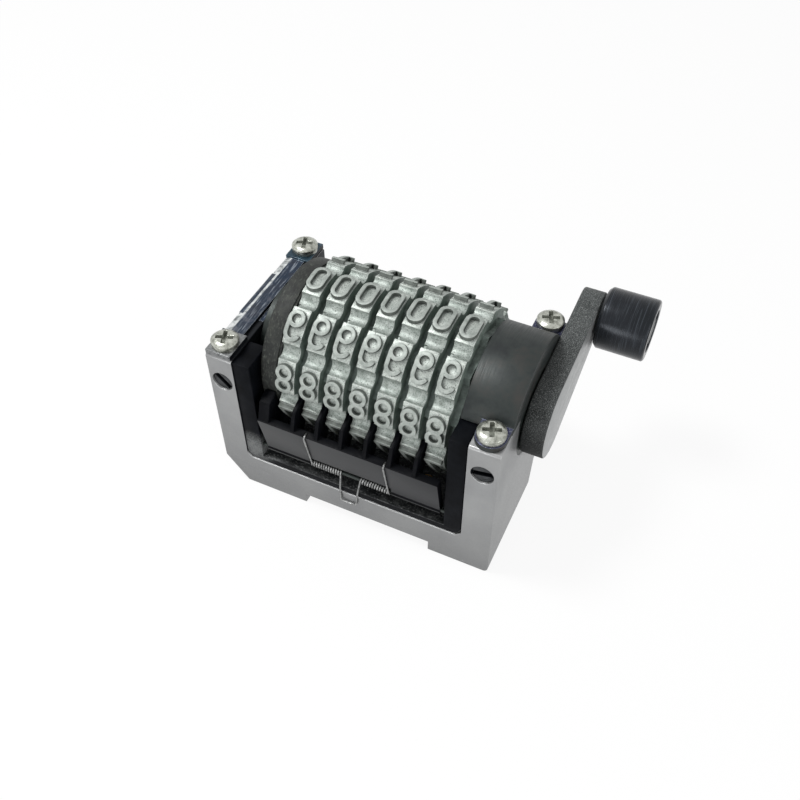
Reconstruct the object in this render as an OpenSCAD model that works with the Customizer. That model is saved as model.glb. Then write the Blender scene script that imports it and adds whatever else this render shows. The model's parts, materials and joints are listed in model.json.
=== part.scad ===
/* [Number wheels] */
// Number of digit wheels on the shaft
wheel_count = 7; // [5:1:9]
// Distance from one column of digits to the next
wheel_pitch = 4; // [3.8:0.1:5]
// Width of a digit wheel, with its row of type pads
wheel_w = 2.9; // [2.6:0.05:3]
// Width of the ratchet beside each digit wheel
ratchet_w = 0.95; // [0.7:0.05:1]
// Radius of the printing face of the type
type_r = 13.5; // [13.2:0.1:14]
// Height of the raised stroke above its pad
type_relief = 0.7; // [0.4:0.05:0.8]
// Depth of the valleys between pads, below the pad face
valley_depth = 1; // [0.7:0.05:1.1]
// Radius of the round cutter that makes the valleys
valley_cutter_r = 1.3; // [1.15:0.05:1.5]
// Size of the stop's notch in each wheel's left side
stop_notch = 0.5; // [0.3:0.1:0.7]
// Radius over the ratchet's teeth
ratchet_r = 11.4; // [11:0.1:11.45]
// Depth of the ratchet's teeth
tooth_depth = 1.2; // [0.8:0.1:1.6]
// Turn of the digit 0 away from the top, towards the front
zero_angle = 3; // [0:0.5:6]

/* [Type] */
// Height of a digit
digit_h = 4.76; // [4.4:0.05:5]
// Width of a digit
digit_w = 2.65; // [2.3:0.05:2.7]
// Width of a digit's stroke
stroke_w = 0.6; // [0.4:0.05:0.7]

/* [Housing] */
// How far the housing reaches before and behind the type
wheel_margin = 1; // [0.8:0.1:2]
// Thickness of the left cheek
cheek_left_t = 4.4; // [4.2:0.1:6]
// Thickness of the right cheek
cheek_right_t = 4.8; // [4.5:0.1:6]
// Height of the floor between the cheeks
floor_h = 6.7; // [6:0.1:9]
// Free height under the wheels' printing faces
under_wheel = 3; // [2.8:0.1:5]
// Height of the cheeks above the shaft's centre
cheek_rise = 5.1; // [4.8:0.1:6]
// Depth of the base where it rests
base_d = 18.7; // [17.5:0.1:20]
// How far the base leans back up to the floor's level
base_lean = 1; // [0:0.1:1.5]
// Height where the back of the cheeks begins
back_h = 13.5; // [11:0.5:16]
// Width of the bevel at the lower left corner
bevel_w = 3.7; // [2:0.1:5]
// Height of the bevel at the lower left corner
bevel_h = 4.9; // [3:0.1:6]
// Rounding of the lower right corner
corner_r = 0.8; // [0.3:0.1:1.5]
// Chamfer in the window's lower corners
window_chamfer = 0.9; // [0.3:0.1:1.2]
// Chamfer along the front and back edges of the cheek tops
edge_chamfer = 0.3; // [0.1:0.05:0.5]
// Distance from the left face to the key slot
slot_x = 14.7; // [12:0.1:16]
// Width of the key slot in the underside
slot_w = 21.7; // [18:0.1:23]
// Depth of the key slot in the underside
slot_h = 2; // [1.5:0.1:2.5]
// Diameter of the tapped hole for the clamping screw
clamp_hole_d = 3.3; // [2.5:0.1:4.2]

/* [Cradle] */
// Thickness of the cradle's two arms
arm_t = 2.8; // [2.4:0.1:3.5]
// Thickness of the cradle's floor
cradle_floor_t = 1.2; // [1:0.1:1.4]
// Set back of the cradle from the housing's front
cradle_set_back = 0.15; // [0.05:0.05:0.4]
// Depth of the cradle, front to back
cradle_d = 14; // [12:0.1:14.2]
// Rounding of the cradle's lower corners
cradle_r = 1.6; // [1.2:0.1:2.2]
// Diameter of the two screws that hold the cradle down
cradle_screw_d = 2; // [1.6:0.1:2.4]
// Distance of those screws from the middle of the key slot
cradle_screw_x = 7.5; // [5.5:0.1:8]

/* [Shaft and bushes] */
// Diameter of the fixed main shaft
shaft_d = 6; // [5:0.1:7]
// Outer diameter of the left bush
left_bush_d = 10; // [9:0.1:11]
// Outer diameter of the right bush
right_bush_d = 14; // [13.4:0.1:14.2]
// Outer diameter of the hub in the right bush
hub_d = 10; // [9:0.1:11]
// Width of the blackened drum left of the wheels
drum_w = 3.1; // [2.5:0.1:4]
// Radius of that drum
drum_r = 12.2; // [11:0.1:13]

/* [Bearing caps] */
// Thickness of the cap plates
cap_t = 0.9; // [0.7:0.05:1.2]
// Thickness of the arched right cap's wall
arch_wall = 1; // [0.8:0.1:1.2]
// How much lower the left cap lies between its screws
cap_step = 0.3; // [0.1:0.05:0.5]
// Length of each raised pad of the left cap
cap_pad = 5; // [4.6:0.1:6]
// How much narrower the left cap is between its screws
cap_waist = 0.8; // [0.4:0.1:1]
// Distance of the cap screws from the housing's front and back
cap_screw_y = 2.4; // [2.2:0.1:2.5]
// Diameter of the cap screws
cap_screw_d = 2; // [1.6:0.1:2.2]
// Diameter of the cap screws' heads
cap_head_d = 4.2; // [3.6:0.1:4.4]
// Height of the cap screws' heads
cap_head_h = 1.3; // [1:0.1:1.6]
// Length of the cap screws below their heads
cap_screw_l = 3.8; // [3:0.1:4]
// Diameter of the slotted screws in the cheeks' fronts
set_screw_d = 3.4; // [2.8:0.1:3.4]
// How deep the slotted screws sit below the front
set_screw_sink = 0.35; // [0.1:0.05:0.8]

/* [Lever and roller] */
// Thickness of the lever
lever_t = 3.5; // [3:0.1:5]
// Radius of the lever's hub end
lever_hub_r = 6.35; // [5.8:0.05:7]
// Radius of the lever's roller end
lever_end_r = 3.67; // [3.2:0.01:4.2]
// Distance from the shaft to the roller's pin
lever_l = 19.2; // [16:0.1:22]
// Angle of the lever above the horizontal, at rest
lever_angle = 13.1; // [5:0.1:20]
// Diameter of the lever's seat on the hub
seat_d = 8; // [7:0.1:8.8]
// Diameter of the roller
roller_d = 9.7; // [8:0.1:11]
// Length of the roller
roller_l = 7.9; // [6:0.1:10]
// Diameter of the roller's pin
roller_pin_d = 4; // [3:0.1:4.5]
// Chamfer on the roller's edges
roller_chamfer = 0.5; // [0.2:0.1:0.8]

/* [Pawl swing] */
// Room between the type and the pawl's tube
pawl_room = 0.4; // [0.3:0.1:0.8]
// Angle of the pawl's shaft from the top, towards the back
pawl_angle = 112; // [108:1:118]
// Diameter of the pawl's shaft
pawl_shaft_d = 2; // [1.6:0.1:2.2]
// Outer diameter of the pawl's tube
pawl_tube_d = 3.4; // [3:0.1:3.4]
// Angle from the pawl's shaft to the tips of its fingers
pawl_reach = 28; // [24:1:32]
// How much each finger stands back from the one before it
pawl_step = 0.06; // [0.02:0.01:0.08]
// Thickness of the swing's right disc
disc_t = 1.4; // [1:0.1:1.5]
// Radius of the swing's right disc
disc_r = 10.2; // [9:0.1:10.3]

/* [Aligning comb] */
// Distance of the comb's pivot from the housing's front
comb_y = 1; // [0.9:0.05:1.2]
// Height of the comb's pivot above the floor
comb_z = 3.6; // [3.3:0.1:4.2]
// Lean of the comb's front face, outwards at the top
comb_lean = 11.8; // [9:0.1:13]
// Height of the comb's front face above its pivot
comb_rise = 8.5; // [8:0.1:9]
// Height of the plate's lower edge above the pivot
comb_low = 0.5; // [0.45:0.05:0.7]
// Height of the cut-out over the spring's coils, above the pivot
comb_window = 1.8; // [1.2:0.1:2.4]
// Thickness of the comb's face plate
comb_t = 1.2; // [0.9:0.1:1.4]
// Width of each rib between two wheels
rib_w = 0.6; // [0.5:0.05:0.9]
// Diameter of the comb's pivot pin
pivot_d = 0.7; // [0.6:0.05:0.8]
// Diameter of the spring's wire
wire_d = 0.32; // [0.28:0.01:0.36]
// Turns in each half of the comb's spring
comb_turns = 12; // [8:1:14]
// Width of the spring's loop at the front
loop_w = 2.7; // [2:0.1:3]
// Sideways skew of that loop at its lower end
loop_skew = 0.2; // [0:0.1:0.6]
// Height of the loop's lower end above the base
loop_z = 4.8; // [3:0.1:5.5]

/* [Hidden] */
$fn = 96;
cut = 1;                 // overshoot of every cutting tool
seat_gap = 0.02;         // radial gap of pressed and screwed pieces
run_gap = 0.05;          // radial gap of turning fits
side_gap = 0.1;          // gap between faces that slide past each other
end_gap = 0.2;           // side play of the wheels and the drum
digit_step = 36;
digit_count = 10;

// places along the shaft, from the left cheek's outer face
arm_left_x = cheek_left_t + side_gap;
drum_x = arm_left_x + arm_t + end_gap;
wheel_gap = 0.15;        // side play between the drum and the first wheel
wheels_x = drum_x + drum_w + wheel_gap;
wheels_end = wheels_x + wheel_count * wheel_pitch - (wheel_pitch - wheel_w - ratchet_w);
arm_right_x = wheels_end + end_gap;
window_right = arm_right_x + arm_t + side_gap;
housing_w = window_right + cheek_right_t;
lever_x = housing_w + side_gap;
roller_x = lever_x + lever_t + 3 * side_gap;
roller_end = roller_x + roller_l;

// radii and depths that follow from the wheels and the swing
housing_d = 2 * (type_r + wheel_margin);
pawl_shaft_r = type_r + pawl_room + pawl_tube_d / 2;
cradle_bore_r = disc_r + 3 * side_gap;
arch_r = cradle_bore_r + arch_wall;

// heights and the shaft's place
axis_y = housing_d / 2;
axis_z = floor_h + under_wheel + type_r;
cheek_h = axis_z + cheek_rise;
cap_top = cheek_h + cap_t;
pad_r = type_r - type_relief;
valley_r = pad_r - valley_depth;

// the comb and its spring
comb_pivot_z = floor_h + comb_z;
comb_x = drum_x + 4 * end_gap;
comb_end = arm_right_x - 4 * end_gap;
coil_gap = 0.06;         // room between the pin and the spring's coils
coil_r = pivot_d / 2 + coil_gap + wire_d / 2;
coil_pitch = wire_d + side_gap;
coil_in = loop_w / 2 + wire_d;
coil_out = coil_in + comb_turns * coil_pitch;
spring_shift = 0.2;      // the spring sits this far left of the comb's middle
spring_mid = (comb_x + comb_end) / 2 - spring_shift;
face_y = coil_r - wire_d / 2 - seat_gap;
nose_gap = 0.2;          // the ribs and fingers stand this far off the ratchets
nose_r = ratchet_r + nose_gap;
leg_y = -coil_r;
hook_notch = 0.15;       // depth of the notches for the spring's hooks
hook_l = 3 * wire_d;     // length of those hooks
leg_top = comb_rise - hook_notch + wire_d / 2 + seat_gap;
leg_bend = 0.7 * wire_d; // rounding of the hook over the comb's top edge

// the part's own origin: under the middle of its bounding box
roller_y = axis_y + lever_l * cos(lever_angle);
roller_z = axis_z + lever_l * sin(lever_angle);
front_y = comb_y + leg_y * cos(comb_lean) - (leg_top - leg_bend) * sin(comb_lean) - wire_d / 2;
back_y = roller_y + roller_d / 2;
origin_x = roller_end / 2;
origin_y = (front_y + back_y) / 2;

steel = [0.72, 0.74, 0.72];
dark_steel = [0.24, 0.26, 0.25];
black_oxide = [0.09, 0.09, 0.10];
blued = [0.13, 0.13, 0.24];
bright_wire = [0.80, 0.80, 0.78];
bronze = [0.66, 0.50, 0.28];

WHEELS = [for (i = [1 : wheel_count]) str("number_wheel_", i)];
RATCHETS = [for (i = [1 : wheel_count]) str("ratchet_", i)];

// ---- helpers ----

module place() translate([-origin_x, -origin_y, 0]) children();

// children drawn in (depth, height), extruded along the shaft
module along_x(x, l) translate([x, 0, 0]) rotate([90, 0, 90]) linear_extrude(l) children();

// children drawn in (width, height), extruded from front to back
module along_y(y, l) translate([0, y + l, 0]) rotate([90, 0, 0]) linear_extrude(l) children();

module rod_x(r, x, l) translate([x, 0, 0]) rotate([0, 90, 0]) cylinder(r = r, h = l);

module on_axis() translate([0, axis_y, axis_z]) children();

module at_roller() translate([0, roller_y, roller_z]) children();

// a tube along the shaft, from radius r_in to r_out
module ring_x(r_in, r_out, x, l)
    difference() {
        rod_x(r_out, x, l);
        rod_x(r_in, x - cut, l + 2 * cut);
    }

// the web between two circles, l apart, along their tangents
module web_2d(r1, r2, l) {
    lean = asin((r1 - r2) / l);
    inside = 0.995;      // the web's sides start just inside the circles, so that they join
    polygon([
        inside * r1 * [sin(lean), cos(lean)],
        [l, 0] + inside * r2 * [sin(lean), cos(lean)],
        [l, 0] + inside * r2 * [sin(lean), -cos(lean)],
        inside * r1 * [sin(lean), -cos(lean)]
    ]);
}

function unit(v) = v / norm(v);
function tangent(p, i) = unit(p[min(i + 1, len(p) - 1)] - p[max(i - 1, 0)]);
function square_to(u, t) = unit(u - (u * t) * t);

// a wire of diameter d along the points p; start is any direction across its first stretch
module wire(p, d, start, sides = 6) {
    n = len(p);
    normals = [for (i = 0, u = square_to(start, tangent(p, 0)); i < n;
                    i = i + 1, u = i < n ? square_to(u, tangent(p, i)) : u) u];
    rings = [for (i = [0 : n - 1], k = [0 : sides - 1])
        let (u = normals[i], v = cross(tangent(p, i), u), a = 360 * k / sides)
        p[i] + d / 2 * (cos(a) * u + sin(a) * v)];
    walls = [for (i = [0 : n - 2], k = [0 : sides - 1])
        let (a = i * sides + k, b = i * sides + (k + 1) % sides)
        [a, a + sides, b + sides, b]];
    near = [for (k = [0 : sides - 1]) k];
    far = [for (k = [sides - 1 : -1 : 0]) (n - 1) * sides + k];
    polyhedron(rings, concat(walls, [near], [far]));
}

// ---- housing ----

module yoke_front_2d() {
    right = housing_w - cheek_right_t;
    slot_end = slot_x + slot_w;
    polygon([
        [bevel_w, 0], [slot_x, 0], [slot_x, slot_h], [slot_end, slot_h], [slot_end, 0],
        [housing_w - corner_r, 0], [housing_w, corner_r], [housing_w, cheek_h],
        [right, cheek_h], [right, floor_h + window_chamfer], [right - window_chamfer, floor_h],
        [cheek_left_t + window_chamfer, floor_h], [cheek_left_t, floor_h + window_chamfer],
        [cheek_left_t, cheek_h], [0, cheek_h], [0, bevel_h]
    ]);
    translate([housing_w - corner_r, corner_r]) circle(corner_r);
}

module yoke_side_2d()
    polygon([
        [0, 0], [base_d, 0], [base_d + base_lean, floor_h - 0.6],
        [housing_d, back_h], [housing_d, cheek_h - edge_chamfer],
        [housing_d - edge_chamfer, cheek_h], [edge_chamfer, cheek_h], [0, cheek_h - edge_chamfer]
    ]);

// open-topped seat for a bush
module bush_slot(r, x, l) {
    on_axis() rod_x(r + seat_gap, x, l);
    translate([x, axis_y - r - seat_gap, axis_z])
        cube([l, 2 * (r + seat_gap), cheek_rise + cut]);
}

left_screw_x = cheek_left_t / 2;
right_screw_x = housing_w - cheek_right_t / 2;
cap_screw_places = [for (x = [left_screw_x, right_screw_x],
                         y = [cap_screw_y, housing_d - cap_screw_y]) [x, y]];
slot_mid = slot_x + slot_w / 2;
cradle_screw_y = cradle_d / 2;
clamp_y = base_d / 2;

module frame_yoke()
    color(steel) difference() {
        intersection() {
            along_y(0, housing_d) yoke_front_2d();
            along_x(0, housing_w) yoke_side_2d();
        }
        bush_slot(left_bush_d / 2, -cut, cheek_left_t + 2 * cut);
        bush_slot(right_bush_d / 2, window_right - cut, cheek_right_t + 2 * cut);
        for (p = cap_screw_places)
            translate([p.x, p.y, cap_top - cap_screw_l - side_gap])
                cylinder(d = cap_screw_d + 2 * seat_gap, h = cap_screw_l + cut);
        for (x = [left_screw_x, right_screw_x])
            translate([x, -cut, axis_z]) rotate([-90, 0, 0])
                cylinder(d = set_screw_d + 2 * seat_gap, h = axis_y);
        for (s = [-1, 1]) translate([slot_mid + s * cradle_screw_x, cradle_screw_y, 0]) {
            cylinder(d = cradle_screw_d + 2 * side_gap, h = floor_h + cut);
            cylinder(d = 2 * cradle_screw_d + 2 * side_gap, h = slot_h + cradle_screw_d / 2 + side_gap);
        }
        translate([slot_mid, clamp_y, 0]) cylinder(d = clamp_hole_d, h = floor_h + cut);
    }

module cradle_front_2d() {
    bottom = floor_h + side_gap;
    difference() {
        union() {
            translate([arm_left_x, bottom + cradle_r])
                square([arm_right_x + arm_t - arm_left_x, cheek_h - end_gap - bottom - cradle_r]);
            translate([arm_left_x + cradle_r, bottom])
                square([arm_right_x + arm_t - arm_left_x - 2 * cradle_r, cradle_r]);
            for (x = [arm_left_x + cradle_r, arm_right_x + arm_t - cradle_r])
                translate([x, bottom + cradle_r]) circle(cradle_r);
        }
        translate([arm_left_x + arm_t, bottom + cradle_floor_t])
            square([arm_right_x - arm_left_x - arm_t, cheek_h]);
    }
}

module inner_cradle()
    color(black_oxide) difference() {
        along_y(cradle_set_back, cradle_d) cradle_front_2d();
        on_axis() rod_x(cradle_bore_r, 0, housing_w);
        translate([0, comb_y, comb_pivot_z]) rod_x(pivot_d / 2 + seat_gap, 0, housing_w);
        for (s = [-1, 1])
            translate([slot_mid + s * cradle_screw_x, cradle_screw_y, 0])
                cylinder(d = cradle_screw_d + 2 * seat_gap, h = axis_z);
    }

module cradle_screws()
    color(bronze) for (s = [-1, 1])
        translate([slot_mid + s * cradle_screw_x, cradle_screw_y, slot_h]) difference() {
            union() {
                cylinder(d = cradle_screw_d, h = floor_h + side_gap + cradle_floor_t - slot_h);
                cylinder(d = 2 * cradle_screw_d, h = cradle_screw_d / 2);
            }
            translate([-cradle_screw_d, -cradle_screw_d / 8, -cut])
                cube([2 * cradle_screw_d, cradle_screw_d / 4, cut + cradle_screw_d / 4]);
        }

// ---- bearing caps and screws ----

// fills the cheek's slot above the bush up to height top, before the bush's place is cut out
module cap_tongue(x, l, r, top)
    translate([x, axis_y - r, axis_z + r / 2]) cube([l, 2 * r, top - axis_z - r / 2]);

// the screws' holes, with room for their heads above the plate
module cap_holes()
    for (p = cap_screw_places) {
        translate([p.x, p.y, axis_z]) cylinder(d = cap_screw_d + 2 * side_gap, h = arch_r);
        translate([p.x, p.y, cap_top]) cylinder(d = cap_head_d + 2 * side_gap, h = arch_r);
    }

module left_bearing_cap() {
    edge = side_gap;
    plate_w = cheek_left_t - 2 * edge;
    outer_bevel = cap_t - cap_step;
    color(blued) difference() {
        union() {
            for (y = [edge, housing_d - edge - cap_pad])
                translate([edge, y, cheek_h]) cube([plate_w, cap_pad, cap_t]);
            along_y(edge + cap_pad - cut, housing_d - 2 * (edge + cap_pad - cut)) polygon([
                [edge, cheek_h], [edge + plate_w - cap_waist, cheek_h],
                [edge + plate_w - cap_waist, cap_top - cap_step],
                [edge + 2 * outer_bevel, cap_top - cap_step], [edge, cheek_h + cap_t / 4]
            ]);
            cap_tongue(edge, plate_w, left_bush_d / 2, cheek_h);
            cap_tongue(edge, plate_w - cap_waist, left_bush_d / 2, cheek_h + cap_t / 2);
        }
        cap_holes();
        on_axis() rod_x(left_bush_d / 2 + seat_gap, -cut, cheek_left_t + cut);
    }
}

module right_bearing_cap() {
    edge = side_gap;
    end_r = cheek_right_t / 2 - edge;
    color(blued) difference() {
        union() {
            // a plate whose ends are round about their screws
            hull() for (y = [end_r + edge, housing_d - end_r - edge])
                translate([right_screw_x, y, cheek_h]) cylinder(r = end_r, h = cap_t);
            intersection() {
                on_axis() rod_x(arch_r, arm_right_x + edge / 2, housing_w - arm_right_x - edge / 2);
                translate([0, 0, cheek_h]) cube([housing_w + cut, housing_d, arch_r]);
            }
            cap_tongue(window_right + edge, 2 * end_r, right_bush_d / 2, cheek_h + cap_t / 2);
        }
        cap_holes();
        on_axis() rod_x(right_bush_d / 2 + seat_gap, window_right, cheek_right_t + cut);
        on_axis() rod_x(cradle_bore_r, arm_right_x - cut, arm_t + side_gap + cut);
    }
}

module cap_screw() {
    recess = 0.32 * cap_head_d;
    difference() {
        union() {
            translate([0, 0, -cap_screw_l]) cylinder(d = cap_screw_d, h = cap_screw_l + cap_head_h / 2);
            cylinder(d = cap_head_d, h = cap_head_h - cap_head_h / 3);
            translate([0, 0, cap_head_h - cap_head_h / 3])
                cylinder(d1 = cap_head_d, d2 = cap_head_d - cap_head_h, h = cap_head_h / 3);
        }
        for (a = [0, 90]) rotate(a + 20)
            translate([-recess, -recess / 4, cap_head_h / 3]) cube([2 * recess, recess / 2, cap_head_h]);
    }
}

module cap_screws()
    color("gainsboro") for (p = cap_screw_places) translate([p.x, p.y, cap_top]) cap_screw();

module set_screw(length, turn)
    rotate([-90, 0, 0]) difference() {
        cylinder(d = set_screw_d, h = length);
        rotate(turn) translate([-set_screw_d, -set_screw_d / 10, -cut])
            cube([2 * set_screw_d, set_screw_d / 5, cut + set_screw_d / 5]);
    }

module set_screws()
    color(black_oxide) {
        translate([left_screw_x, set_screw_sink, axis_z])
            set_screw(axis_y - left_bush_d / 2 - set_screw_sink - seat_gap, 45);
        translate([right_screw_x, set_screw_sink, axis_z])
            set_screw(axis_y - right_bush_d / 2 - set_screw_sink - seat_gap, -12);
    }

// ---- shaft, bushes, drum ----

module left_bush()
    color(dark_steel) on_axis()
        ring_x(shaft_d / 2 + seat_gap, left_bush_d / 2, side_gap, cheek_left_t - side_gap);

module right_bush()
    color(dark_steel) on_axis()
        ring_x(hub_d / 2 + run_gap, right_bush_d / 2, window_right + side_gap,
               cheek_right_t - 2 * side_gap);

hub_bore_end = housing_w - 0.8;
lever_head_t = 1.2;      // thickness of the lever's screw head, inside the hub

module main_shaft()
    color(dark_steel) on_axis()
        rod_x(shaft_d / 2, 3 * side_gap, hub_bore_end - lever_head_t - 5 * side_gap);

module spacer_drum() {
    chamfer = 0.3;
    color(dark_steel) on_axis() difference() {
        union() {
            rod_x(drum_r, drum_x + chamfer, drum_w - 2 * chamfer);
            rod_x(drum_r - chamfer, drum_x, drum_w);
        }
        rod_x(shaft_d / 2 + seat_gap, drum_x - cut, drum_w + 2 * cut);
    }
}

// ---- digits, drawn as plain strokes ----

bowl_r = (digit_w - stroke_w) / 2;
bowl_y = digit_h / 2 - digit_w / 2;

module ring_2d(r) difference() {
    circle(r + stroke_w / 2);
    circle(r - stroke_w / 2);
}

module arc_2d(r, from, to) {
    steps = ceil((to - from) / 60);
    intersection() {
        ring_2d(r);
        polygon(concat([[0, 0]], [for (k = [0 : steps])
            let (a = from + (to - from) * k / steps) 3 * r * [cos(a), sin(a)]]));
    }
}

// straight stroke from a to b
module bar_2d(a, b)
    translate(a) rotate(atan2(b.y - a.y, b.x - a.x))
        translate([0, -stroke_w / 2]) square([norm(b - a), stroke_w]);

module bowl_at(y) translate([0, y]) children();

module digit_2d(d) {
    top = digit_h / 2 - stroke_w / 2;
    side = bowl_r;
    if (d == 0) {
        bowl_at(bowl_y) arc_2d(bowl_r, 0, 180);
        bowl_at(-bowl_y) arc_2d(bowl_r, 180, 360);
        for (s = [-1, 1]) bar_2d([s * side, -bowl_y], [s * side, bowl_y]);
    }
    if (d == 1) {
        bar_2d([0, -top - stroke_w / 2], [0, top + stroke_w / 2]);
        bar_2d([-side, top - side], [0, top]);
        bar_2d([-side, -top], [side, -top]);
    }
    if (d == 2) {
        bowl_at(bowl_y) arc_2d(bowl_r, -35, 170);
        bar_2d([-side, -top], [bowl_r * cos(35), bowl_y - bowl_r * sin(35)]);
        bar_2d([-side - stroke_w / 2, -top], [side + stroke_w / 2, -top]);
    }
    if (d == 3) {
        bowl_at(bowl_y) arc_2d(bowl_r, -70, 165);
        bowl_at(-bowl_y) arc_2d(bowl_r, -165, 70);
        bar_2d([-side / 2, 0], [side / 2, 0]);
    }
    if (d == 4) {
        bar_2d([side / 3, -top - stroke_w / 2], [side / 3, top + stroke_w / 2]);
        bar_2d([-side, -side], [side / 3, top]);
        bar_2d([-side - stroke_w / 2, -side], [side + stroke_w / 2, -side]);
    }
    if (d == 5) {
        bar_2d([-side, top], [side + stroke_w / 2, top]);
        bar_2d([-side, 0], [-side, top + stroke_w / 2]);
        bowl_at(-bowl_y) arc_2d(bowl_r, -165, 130);
        bar_2d([-side, stroke_w / 4], [-side / 2, -stroke_w / 2]);
    }
    if (d == 6) {
        bowl_at(-bowl_y) ring_2d(bowl_r);
        bowl_at(bowl_y) arc_2d(bowl_r, 15, 180);
        bar_2d([-side, -bowl_y], [-side, bowl_y]);
    }
    if (d == 7) {
        bar_2d([-side - stroke_w / 2, top], [side + stroke_w / 2, top]);
        bar_2d([-side / 3, -top - stroke_w / 4], [side, top]);
    }
    if (d == 8) {
        bowl_at(bowl_y) ring_2d(bowl_r);
        bowl_at(-bowl_y) ring_2d(bowl_r);
    }
    if (d == 9) rotate(180) digit_2d(6);
}

// ---- number wheels ----

// type reads in reverse, because it prints
module raised_digit(d)
    intersection() {
        rotate([zero_angle - digit_step * d, 0, 0]) translate([wheel_w / 2 - run_gap, 0, valley_r])
            linear_extrude(type_r) mirror([1, 0]) digit_2d(d);
        ring_x(pad_r - 2 * run_gap, type_r, 0, wheel_w);
    }

module valley(k)
    rotate([zero_angle + digit_step * (k + 0.5), 0, 0])
        translate([0, 0, valley_r + valley_cutter_r]) rod_x(valley_cutter_r, -cut, wheel_w + 2 * cut);

module number_wheel(i)
    color(steel) translate([wheels_x + (i - 1) * wheel_pitch, 0, 0]) on_axis() {
        difference() {
            ring_x(shaft_d / 2 + run_gap, pad_r, 0, wheel_w);
            for (k = [0 : digit_count - 1]) valley(k);
            // at the edge of the 9, in the valley towards the 0
            rotate([zero_angle + 0.65 * digit_step, 0, 0])
                translate([-cut, 0, valley_r - stop_notch / 2])
                    cube([cut + stop_notch, 1.5 * stop_notch, 2 * stop_notch]);
        }
        for (d = [0 : digit_count - 1]) raised_digit(d);
    }

// saw teeth; the one at 9 is cut deeper, to let the next wheel's finger fall in
module ratchet_2d()
    polygon([for (k = [0 : digit_count - 1], step = [0, 1])
        let (deep = k == digit_count - 1 ? 1.6 : 1,
             a = digit_step * k + 5 * step + digit_step / 2,
             r = ratchet_r - step * deep * tooth_depth)
        r * [cos(a), sin(a)]]);

module ratchet(i)
    color(dark_steel) translate([wheels_x + (i - 1) * wheel_pitch + wheel_w, 0, 0]) on_axis()
        rotate([90, 0, 90]) linear_extrude(ratchet_w) difference() {
            ratchet_2d();
            circle(shaft_d / 2 + run_gap);
        }

// ---- aligning comb ----

// the comb's own frame: pivot at the origin, face upright
module comb_frame() translate([0, comb_y, comb_pivot_z]) rotate([comb_lean, 0, 0]) children();

function on_comb(x, y, z) = [
    x,
    comb_y + y * cos(comb_lean) - z * sin(comb_lean),
    comb_pivot_z + y * sin(comb_lean) + z * cos(comb_lean)
];
function around_axis(r, a) = [axis_y - r * sin(a), axis_z + r * cos(a)];

// a rib in (depth, height): it grows out of the plate's top and reaches in between the wheels
module rib_2d() {
    face_top = on_comb(0, side_gap - face_y, comb_rise - side_gap);
    back_low = on_comb(0, comb_t - face_y - side_gap, comb_rise / 2);
    polygon([
        [face_top.y, face_top.z], around_axis(type_r + 5 * nose_gap, 96),
        around_axis(nose_r + nose_gap / 2, 92), around_axis(nose_r, 96),
        around_axis(nose_r, 101), around_axis(nose_r, 106), around_axis(nose_r + nose_gap, 111),
        [back_low.y, back_low.z]
    ]);
}

function leg_x(side) = spring_mid + side * (coil_out - wire_d / 2);

module comb_bar() {
    rib_x0 = wheels_x + wheel_w + (wheel_pitch - wheel_w - rib_w) / 2;
    pin_wall = 0.25;
    coil_room = coil_out + wire_d / 2 + side_gap;
    slot_w = wire_d + 2 * run_gap;
    color(black_oxide) difference() {
        union() {
            comb_frame() translate([comb_x, -face_y, comb_low])
                cube([comb_end - comb_x, comb_t, comb_rise - comb_low]);
            comb_frame() translate([comb_x, 0, 0])
                cube([comb_end - comb_x, comb_t - face_y, comb_low + side_gap]);
            comb_frame() rod_x(pivot_d / 2 + pin_wall, comb_x, comb_end - comb_x);
            for (i = [0 : wheel_count - 2]) along_x(rib_x0 + i * wheel_pitch, rib_w) rib_2d();
            difference() {
                along_x(comb_x + side_gap, wheels_x - 3 * end_gap - comb_x - side_gap) rib_2d();
                on_axis() rod_x(drum_r + nose_gap, 0, housing_w);
            }
        }
        comb_frame() rod_x(pivot_d / 2 + run_gap, 0, housing_w);
        // the cut-out that shows the two coils
        comb_frame() translate([spring_mid - coil_room, -comb_window, -comb_window])
            cube([2 * coil_room, 2 * comb_window, 2 * comb_window]);
        // notches in the top edge that hold the spring's hooks
        for (side = [-1, 1]) comb_frame()
            translate([leg_x(side) - slot_w / 2, leg_y - comb_t, comb_rise - hook_notch])
                cube([slot_w, comb_t + hook_l + side_gap, comb_rise]);
    }
}

module comb_pivot_pin()
    color(dark_steel) translate([0, comb_y, comb_pivot_z])
        rod_x(pivot_d / 2, arm_left_x + side_gap, arm_right_x + arm_t - arm_left_x - 2 * side_gap);

coil_steps = 10;
loop_y = -wire_d / 2 - run_gap;
loop_knee = floor_h + side_gap + cradle_floor_t + wire_d / 2;

// one half of the spring, from the hook on the comb's top edge to the loop's corner;
// side is -1 for the left half and 1 for the right half
function comb_half(side) = let (
    outer = spring_mid + side * coil_out,
    inner = spring_mid + side * coil_in,
    leg = leg_x(side),
    loop_x = spring_mid + side * loop_w / 2,
    bend = loop_w / 6
) concat(
    [on_comb(leg, leg_y + hook_l, leg_top), on_comb(leg, leg_y + leg_bend, leg_top),
     on_comb(leg, leg_y, leg_top - leg_bend), on_comb(leg, leg_y, comb_rise / 2),
     on_comb(leg, leg_y, coil_r)],
    [for (k = [0 : comb_turns * coil_steps])
        let (a = 360 * k / coil_steps, x = outer + (inner - outer) * k / (comb_turns * coil_steps))
        on_comb(x, -coil_r * cos(a), -coil_r * sin(a))],
    [[(inner + loop_x) / 2, loop_y, loop_knee],
     [loop_x - loop_skew, loop_y, loop_z + bend],
     [loop_x - loop_skew - side * 0.12 * bend, loop_y, loop_z + 0.5 * bend],
     [loop_x - loop_skew - side * 0.5 * bend, loop_y, loop_z + 0.12 * bend],
     [loop_x - loop_skew - side * bend, loop_y, loop_z]]
);
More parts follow.
